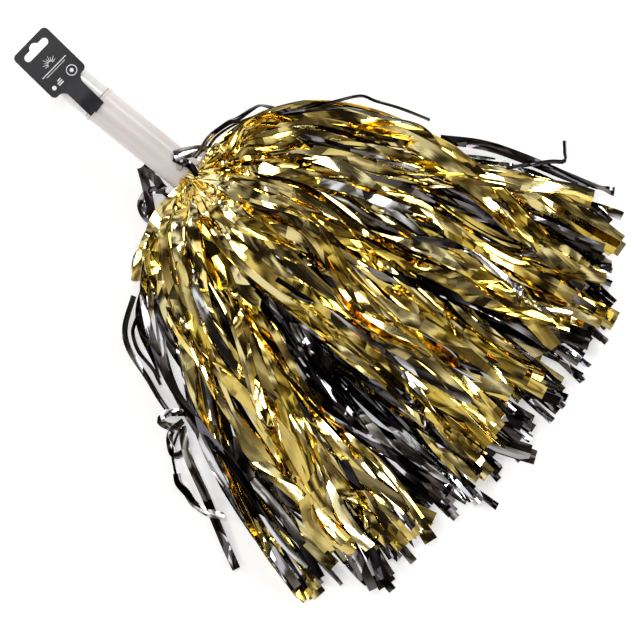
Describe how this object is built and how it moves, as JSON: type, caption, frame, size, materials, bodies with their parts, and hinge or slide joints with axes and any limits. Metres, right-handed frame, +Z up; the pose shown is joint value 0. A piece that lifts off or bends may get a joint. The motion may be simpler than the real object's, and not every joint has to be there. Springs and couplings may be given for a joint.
{
  "type": "cheer pom pom",
  "caption": "Stick-handled cheer pom pom with a fan of gold and black metallised film strands and a hang tag on its end cap.",
  "frame": {"origin": "bottom centre of the whole object's box, on the surface the pom pom lies on", "axes": "+X along the handle's axis from the hang tag to the strand tips, +Z up, +Y to the left when looking along +X"},
  "size_m": [0.514, 0.4156, 0.068],
  "materials": {
    "white_plastic": "glossy, slightly translucent extruded tube",
    "grey_plastic": "glossy moulded cap",
    "pin_plastic": "satin",
    "gold_film": "mirror-bright metallised film, creased",
    "black_film": "mirror-bright black metallised film, creased",
    "tape": "matt adhesive tape",
    "tag_plastic": "glossy printed card-like plastic"
  },
  "bodies": {
    "handle": {"handle_tube": "white_plastic", "end_cap": "grey_plastic", "retaining_pin": "pin_plastic", "film_header_gold": "gold_film", "film_header_black": "black_film", "binding_tape": "tape", "strap_tail": "tag_plastic", "crown_gold": "gold_film", "crown_black": "black_film"},
    "tag": {"hang_tag": "tag_plastic"},
    "lock_1": {"gold_strands_1": "gold_film", "black_strands_1": "black_film"},
    "lock_2": {"gold_strands_2": "gold_film", "black_strands_2": "black_film"},
    "lock_3": {"gold_strands_3": "gold_film", "black_strands_3": "black_film"},
    "lock_4": {"gold_strands_4": "gold_film", "black_strands_4": "black_film"},
    "lock_5": {"gold_strands_5": "gold_film", "black_strands_5": "black_film"},
    "lock_6": {"gold_strands_6": "gold_film", "black_strands_6": "black_film"},
    "lock_7": {"gold_strands_7": "gold_film", "black_strands_7": "black_film"}
  },
  "joints": [
    {"name": "tag_flap", "type": "hinge", "parent": "handle", "child": "tag", "pos_m": [-0.18064, -0.0043, 0.03155], "axis": [0.0906, 0.9959, 0], "range_deg": [0, 120]},
    {"name": "lock_1_lift", "type": "hinge", "parent": "handle", "child": "lock_1", "pos_m": [-0.05525, -0.07574, 0.025], "axis": [-0.4258, -0.9048, 0], "range_deg": [0, 35]},
    {"name": "lock_2_lift", "type": "hinge", "parent": "handle", "child": "lock_2", "pos_m": [-0.03067, -0.05688, 0.025], "axis": [-0.289, -0.9573, 0], "range_deg": [0, 35]},
    {"name": "lock_3_lift", "type": "hinge", "parent": "handle", "child": "lock_3", "pos_m": [-0.01448, -0.03046, 0.025], "axis": [-0.1461, -0.9893, 0], "range_deg": [0, 35]},
    {"name": "lock_4_lift", "type": "hinge", "parent": "handle", "child": "lock_4", "pos_m": [-0.00884, 0, 0.025], "axis": [0, -1, 0], "range_deg": [0, 35]},
    {"name": "lock_5_lift", "type": "hinge", "parent": "handle", "child": "lock_5", "pos_m": [-0.01448, 0.03046, 0.025], "axis": [0.1461, -0.9893, 0], "range_deg": [0, 35]},
    {"name": "lock_6_lift", "type": "hinge", "parent": "handle", "child": "lock_6", "pos_m": [-0.03067, 0.05688, 0.025], "axis": [0.289, -0.9573, 0], "range_deg": [0, 35]},
    {"name": "lock_7_lift", "type": "hinge", "parent": "handle", "child": "lock_7", "pos_m": [-0.05525, 0.07574, 0.025], "axis": [0.4258, -0.9048, 0], "range_deg": [0, 35]}
  ]
}
